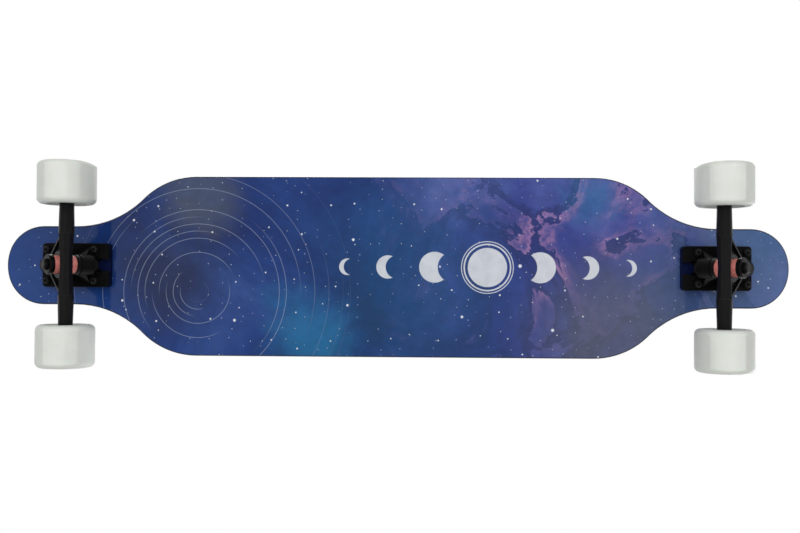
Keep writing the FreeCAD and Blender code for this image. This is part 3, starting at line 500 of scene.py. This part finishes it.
def deck_look():
    """Lacquered deck: printed below, with painted shade along the rounded lower edge, bare plies along the edge
    and maple on top.
    """
    look = Look("printed_maple_deck")
    x, y, z = look.split(look.place)
    metres = look.join(x, y, 0.0)
    flat = look.vector("SCALE", metres, 1.0 / MM)
    level = deck_level(look, y, z)
    stretched = look.vector("MULTIPLY", look.place, GRAIN_STRETCH)
    grain = look.noise(scale=1.0, detail=6.0, rough=0.65, twist=0.6, at=stretched)
    wood = look.mix(look.fade(grain, *GRAIN_FADE), MAPLE_DARK, MAPLE_LIGHT)

    ply = look.product(level, PLIES)
    odd = look.calc("MODULO", look.calc("FLOOR", ply), 2.0)
    edge = look.mix(look.product(odd, PLY_STRENGTH), wood, PLY_DARK)
    off_middle = look.calc("ABSOLUTE", look.calc("SUBTRACT", look.calc("FRACT", ply), 0.5))
    glue = look.product(look.fade(off_middle, *GLUE_LINE), GLUE_STRENGTH)
    edge = look.mix(glue, edge, GLUE_COLOUR)

    # Painted shade along the rounded lower edge, laid over the print
    rim = look.product(look.fade(level, *RIM_SHADE_LEVEL), RIM_SHADE_STRENGTH)
    printed = look.mix(rim, deck_print(look, flat, metres), RIM_SHADE_COLOUR)
    colour = look.mix(look.fade(level, *TOP_LEVEL), edge, wood)
    colour = look.mix(look.fade(level, *PRINT_LEVEL), colour, printed)
    return look.surface(
        Base_Color=colour,
        Roughness=look.span(grain, 0.42, 0.56),
        Specular_IOR_Level=0.0,
        Coat_Weight=1.0,
        Coat_Roughness=0.07,
        Coat_IOR=1.5,
        Normal=look.relief(grain, strength=0.05, depth=0.08 * MM))


# One look per material slot of the record
LOOKS = {
    "truck_casting": casting("black_powder_coated_casting", shine=0.1),
    "black_steel": black_steel(),
    "bright_steel": bright_steel(),
    "bushing_urethane": urethane(
        "coral_urethane", dark=(0.95, 0.285, 0.25), light=(1.0, 0.34, 0.3),
        rough=0.34, glow=0.25, depth=2.0 * MM, turning=9000.0),
    "pivot_urethane": plain_polymer(
        "black_pivot_urethane", dark=(0.01, 0.01, 0.01), light=(0.022, 0.022, 0.022),
        rough=0.5, grain=1200.0),
    "wheel_urethane": urethane(
        "white_urethane", dark=(0.815, 0.85, 0.79), light=(0.86, 0.89, 0.835),
        rough=0.4, glow=0.3, depth=4.0 * MM, turning=12000.0),
    "wheel_core": plain_polymer(
        "white_core_nylon", dark=(0.7, 0.71, 0.67), light=(0.79, 0.8, 0.76), rough=0.5, grain=900.0),
    # Painted reflection: the riser's dark blue stands in for the deck's blue mirrored in its side wall
    "riser_rubber": plain_polymer(
        "dark_blue_riser_painted_reflection", dark=(0.001, 0.004, 0.036), light=(0.002, 0.007, 0.056),
        rough=0.6, grain=1100.0, shine=0.08),
    "shield_rubber": plain_polymer(
        "black_seal_rubber", dark=(0.008, 0.008, 0.008), light=(0.02, 0.02, 0.02),
        rough=0.55, grain=1600.0),
    "cage_nylon": plain_polymer(
        "natural_nylon", dark=(0.66, 0.63, 0.54), light=(0.78, 0.76, 0.68), rough=0.45, grain=1300.0),
    "grip": grip(),
    "deck_maple": deck_look(),
}
# Painted sheen: the hangers get a copy of the same powder coat with a stronger reflection, standing in for the
# highlights on their bars
HANGER_SHEEN_CASTING = casting("black_casting_painted_sheen", shine=0.23)
GREY_NYLON = plain_polymer(
    "grey_nylon", dark=(0.022, 0.022, 0.0215), light=(0.04, 0.04, 0.039),
    rough=0.5, grain=1300.0, shine=0.3)
for part in frame["record"]["subparts"]:
    slots = nodes[part["node"]].data.materials
    slots.clear()
    slots.append(LOOKS[part["material_slot"]])
for end, _ in ENDS:
    nodes[f"{end}_hanger"].data.materials[0] = HANGER_SHEEN_CASTING

# Places along the kingpin, from the middle of the hanger's ring, and sizes of the pieces on it
SEAT_FACE = 4.0 * MM
STACK_END = 18.85 * MM
KINGPIN_NUT_END = 25.25 * MM
BUSHING_RADIUS = 11.8 * MM
BUSHING_BORE = 4.9 * MM
BUSHING_BULGE = 0.35 * MM
BUSHING_EDGE = 1.2 * MM
BARREL_STEPS = 12
CORNER_STEPS = 5

# Mounting bolts, with the nuts' faces below the deck, and the axle nuts' outer faces
TRUCK_STATION = 427.4 * MM
BOLT_OFFSETS = (31.75 * MM, 20.64 * MM)
BOLT_RADIUS = 2.4 * MM
BOLT_NUT_DROP = 21.0 * MM
BOLT_THREAD = 1.2 * MM
AXLE_NUT_END = 122.6 * MM

# Thread ridges: half widths as shares of the pitch, and the root sunk in by a share of the height
THREAD_PITCH = 0.55 * MM
THREAD_HEIGHT = 0.14 * MM
RIDGE_ROOT = 0.4
RIDGE_CREST = 0.08
RIDGE_SINK = 0.12
RIDGE_STEPS = 40
RIDGE_SWELL = 6

# Nylon rings: inner and outer radius in each kind of nut, then depth, height and rounding for all
KINGPIN_RING = (4.98 * MM, 5.85 * MM)
BOLT_RING = (2.56 * MM, 3.42 * MM)
AXLE_RING = (4.04 * MM, 4.9 * MM)
RING_SINK = 0.1 * MM
RING_PROUD = 0.16 * MM
RING_EDGE = 0.12 * MM
LATHE_SEGMENTS = 64
RING_SEGMENTS = 40


def add_mesh(name, points, faces):
    mesh = bpy.data.meshes.new(name)
    mesh.from_pydata(points, [], faces)
    mesh.validate()
    piece = bpy.data.objects.new(name, mesh)
    scene.collection.objects.link(piece)
    return piece


def turn_to(direction):
    """The turn that takes the z axis to a direction."""
    return Vector((0, 0, 1)).rotation_difference(Vector(direction)).to_matrix()


def round_point(base, turn, radius, angle, along):
    """A point at a radius and angle about a turned axis, and a distance along it."""
    return Vector(base) + turn @ Vector((radius * math.cos(angle), radius * math.sin(angle), along))


def lathe(name, profile, base, direction, segments=LATHE_SEGMENTS):
    """A closed turned mesh: profile pairs are radius and distance along the direction, in metres."""
    turn = turn_to(direction)
    count = len(profile)
    points = []
    faces = []
    for step in range(segments):
        angle = math.tau * step / segments
        points += [round_point(base, turn, radius, angle, along) for radius, along in profile]
        here = step * count
        there = (step + 1) % segments * count
        for i in range(count):
            after = (i + 1) % count
            faces.append((here + i, there + i, there + after, here + after))
    piece = add_mesh(name, points, faces)
    piece.data.shade_smooth()
    return piece


def bushing_profile():
    """The barrel's closed section, from the ring's seat to the washer."""
    length = STACK_END - SEAT_FACE
    end_radius = BUSHING_RADIUS - BUSHING_BULGE
    rim = end_radius - BUSHING_EDGE
    outer = []
    for step in range(BARREL_STEPS + 1):
        share = step / BARREL_STEPS
        along = BUSHING_EDGE + (length - 2 * BUSHING_EDGE) * share
        outer.append((end_radius + BUSHING_BULGE * math.sin(math.pi * share), along))
    corner = [math.pi / 2 * step / CORNER_STEPS for step in range(1, CORNER_STEPS)]
    low = [(rim + BUSHING_EDGE * math.sin(a), BUSHING_EDGE * (1 - math.cos(a))) for a in corner]
    high = [(radius, length - along) for radius, along in reversed(low)]
    inner = [(BUSHING_BORE, length - length * step / BARREL_STEPS) for step in range(BARREL_STEPS + 1)]
    return [(rim, 0.0)] + low + outer + high + [(rim, length)] + inner


def thread(name, base, direction, radius, length):
    """A closed spiral ridge round a rod, fading in and out at its ends."""
    turn = turn_to(direction)
    sink = -RIDGE_SINK * THREAD_HEIGHT
    section = ((sink, -RIDGE_ROOT), (THREAD_HEIGHT, -RIDGE_CREST),
               (THREAD_HEIGHT, RIDGE_CREST), (sink, RIDGE_ROOT))
    sides = len(section)
    travel = length - 2 * RIDGE_ROOT * THREAD_PITCH
    count = int(RIDGE_STEPS * travel / THREAD_PITCH)
    points = []
    for step in range(count + 1):
        angle = math.tau * step / RIDGE_STEPS
        along = THREAD_PITCH * (RIDGE_ROOT + step / RIDGE_STEPS)
        swell = min(1.0, step / RIDGE_SWELL, (count - step) / RIDGE_SWELL)
        for lift, offset in section:
            reach = radius + (lift * swell if lift > 0 else lift)
            points.append(round_point(base, turn, reach, angle, along + offset * THREAD_PITCH))
    faces = []
    for step in range(count):
        here = step * sides
        there = here + sides
        for i in range(sides):
            after = (i + 1) % sides
            faces.append((here + i, here + after, there + after, there + i))
    faces.append(tuple(reversed(range(sides))))
    faces.append(tuple(count * sides + i for i in range(sides)))
    return add_mesh(name, points, faces)


def nylon_ring(name, base, direction, radii):
    """A ring with softened edges that stands a little proud of its nut."""
    inner, outer = radii
    shoulder = RING_PROUD - RING_EDGE
    profile = [(inner, -RING_SINK), (outer, -RING_SINK), (outer, shoulder),
               (outer - RING_EDGE, RING_PROUD), (inner + RING_EDGE, RING_PROUD), (inner, shoulder)]
    return lathe(name, profile, base, direction, RING_SEGMENTS)


def dress(piece, slot, look=None):
    piece.data.materials.append(look or LOOKS[slot])
    return piece


def fix(piece, slot, body, look=None):
    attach(dress(piece, slot, look), body)


def kingpin_line(end, sign):
    """The middle of the hanger's ring, and the kingpin's direction towards its nut."""
    return Vector(JOINTS[f"{end}_steer"]["pos_m"]), Vector((sign, 0, -1)).normalized()


# Soft bushings: turned barrels on both sides of the hanger's ring take the place of the imported ones
for end, sign in ENDS:
    ring, kingpin = kingpin_line(end, sign)
    for side, facing in (("roadside", 1), ("boardside", -1)):
        seat = ring + kingpin * (facing * SEAT_FACE)
        barrel = lathe(f"{end}_{side}_soft_bushing", bushing_profile(), seat, kingpin * facing)
        piece = dress(barrel, "bushing_urethane")
        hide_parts(f"{end}_{side}_bushing")
        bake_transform(piece)

# Thread ridges past the nuts, and the nylon rings set in the nuts' collars
DOWN = (0, 0, -1)
for end, sign in ENDS:
    ring, kingpin = kingpin_line(end, sign)
    top = ring + kingpin * KINGPIN_NUT_END
    collar = nylon_ring(f"{end}_kingpin_nut_ring", top, kingpin, KINGPIN_RING)
    fix(collar, "cage_nylon", "board", GREY_NYLON)
    corners = [(along, across) for along in (-1, 1) for across in (-1, 1)]
    for number, (along, across) in enumerate(corners, 1):
        station = sign * TRUCK_STATION + along * BOLT_OFFSETS[0]
        nut = Vector((station, across * BOLT_OFFSETS[1], DECK_BOTTOM - BOLT_NUT_DROP))
        ridge = thread(f"{end}_bolt_thread_{number}", nut, DOWN, BOLT_RADIUS, BOLT_THREAD)
        fix(ridge, "black_steel", "board")
        collar = nylon_ring(f"{end}_bolt_nut_ring_{number}", nut, DOWN, BOLT_RING)
        fix(collar, "cage_nylon", "board", GREY_NYLON)
    wheel = Vector(JOINTS[f"{end}_left_spin"]["pos_m"])
    for side, across in SIDES:
        face = (wheel.x, across * AXLE_NUT_END, wheel.z)
        collar = nylon_ring(f"{end}_{side}_axle_nut_ring", face, (0, across, 0), AXLE_RING)
        fix(collar, "cage_nylon", f"{end}_steering")

# Stage and light, in metres and watts; far off, the floor turns white and its reflection dark
WHITE = (1.0, 1.0, 1.0)
FLOOR_HALF = 30.0
FLOOR_CORNERS = ((-1, -1), (1, -1), (1, 1), (-1, 1))
FLOOR_SHADE = (0.9, 0.9, 0.9)
FLOOR_FADE = (0.8, 2.4)
MIRROR_FADE = (0.8, 2.2)
FLOOR_MIRRORED = (0.42, 0.08)
WORLD_LIGHT = 0.42
LAMP_AIM = Vector((0, 0, 0.08))
# Each lamp: name, place, size across and along, power
LAMPS = (
    ("key_above", (-0.1, -1.6, 2.6), (2.4, 1.8), 62.0),
    ("fill_above", (1.9, 1.5, 2.0), (2.4, 1.8), 32.0),
    ("key_below", (0.0, -0.55, -2.3), (4.6, 2.4), 55.0),
)


def floor_material():
    """Pale floor that is seen from above only, lets lamps below through and stays calm in reflections."""
    material = bpy.data.materials.new("pale_floor")
    material.use_nodes = True
    floor_nodes = Nodes(material.node_tree)
    floor_nodes.tree.nodes.clear()
    path = floor_nodes.add("ShaderNodeLightPath").outputs
    geometry = floor_nodes.add("ShaderNodeNewGeometry").outputs
    away = floor_nodes.vector("LENGTH", geometry["Position"])
    calm = floor_nodes.fade(away, *MIRROR_FADE, *FLOOR_MIRRORED)
    matte = floor_nodes.add("ShaderNodeBsdfDiffuse", {"Color": FLOOR_SHADE}).outputs[0]
    white = floor_nodes.add("ShaderNodeEmission").outputs[0]
    mirrored = floor_nodes.add("ShaderNodeEmission", {"Strength": calm}).outputs[0]
    clear = floor_nodes.add("ShaderNodeBsdfTransparent").outputs[0]
    bounced = floor_nodes.calc("MAXIMUM", path["Is Glossy Ray"], path["Is Diffuse Ray"])
    through = floor_nodes.calc("MAXIMUM", path["Is Shadow Ray"], geometry["Backfacing"])
    shown = floor_nodes.mix_shaders(floor_nodes.fade(away, *FLOOR_FADE), matte, white)
    shown = floor_nodes.mix_shaders(bounced, shown, mirrored)
    shown = floor_nodes.mix_shaders(through, shown, clear)
    floor_nodes.add("ShaderNodeOutputMaterial", {0: shown})
    return material


floor_points = [(FLOOR_HALF * x, FLOOR_HALF * y, 0.0) for x, y in FLOOR_CORNERS]
floor = add_mesh("floor", floor_points, [(0, 1, 2, 3)])
floor.data.materials.append(floor_material())

# The world is white to the camera and in reflections, and dimmer as a light
world = bpy.data.worlds.new("studio")
scene.world = world
world.use_nodes = True
world_nodes = Nodes(world.node_tree)
path = world_nodes.add("ShaderNodeLightPath").outputs
mirrored = world_nodes.calc("MAXIMUM", path["Is Glossy Ray"], path["Is Transmission Ray"])
shown = world_nodes.calc("MAXIMUM", path["Is Camera Ray"], mirrored)
background = world.node_tree.nodes["Background"]
world_nodes.put(background.inputs["Color"], WHITE)
world_nodes.put(background.inputs["Strength"], world_nodes.span(shown, WORLD_LIGHT, 1.0))

for name, place, (across, along), power in LAMPS:
    data = bpy.data.lights.new(name, "AREA")
    data.shape = "RECTANGLE"
    data.size = across
    data.size_y = along
    data.energy = power
    lamp = bpy.data.objects.new(name, data)
    lamp.location = place
    lamp.rotation_euler = (LAMP_AIM - Vector(place)).to_track_quat("-Z", "Y").to_euler()
    scene.collection.objects.link(lamp)

# Camera below the board, looking up at its underside; turns in degrees, lens and sensor in millimetres
CAMERA_PLACE = (0.03848, 0.02029, -1.09703)
CAMERA_TURNS = (("Y", -1.452), ("X", -1.0), ("Z", -0.339))
CAMERA_LENS = 40.671
SENSOR_WIDTH = 36.0
view = Matrix(((1, 0, 0), (0, -1, 0), (0, 0, -1)))
for axis, degrees in CAMERA_TURNS:
    view = Matrix.Rotation(math.radians(degrees), 3, axis) @ view
camera_data = bpy.data.cameras.new("camera")
camera_data.lens = CAMERA_LENS
camera_data.sensor_width = SENSOR_WIDTH
camera_data.sensor_fit = "HORIZONTAL"
camera = bpy.data.objects.new("camera", camera_data)
camera.matrix_world = Matrix.Translation(CAMERA_PLACE) @ view.transposed().to_4x4()
scene.collection.objects.link(camera)
scene.camera = camera
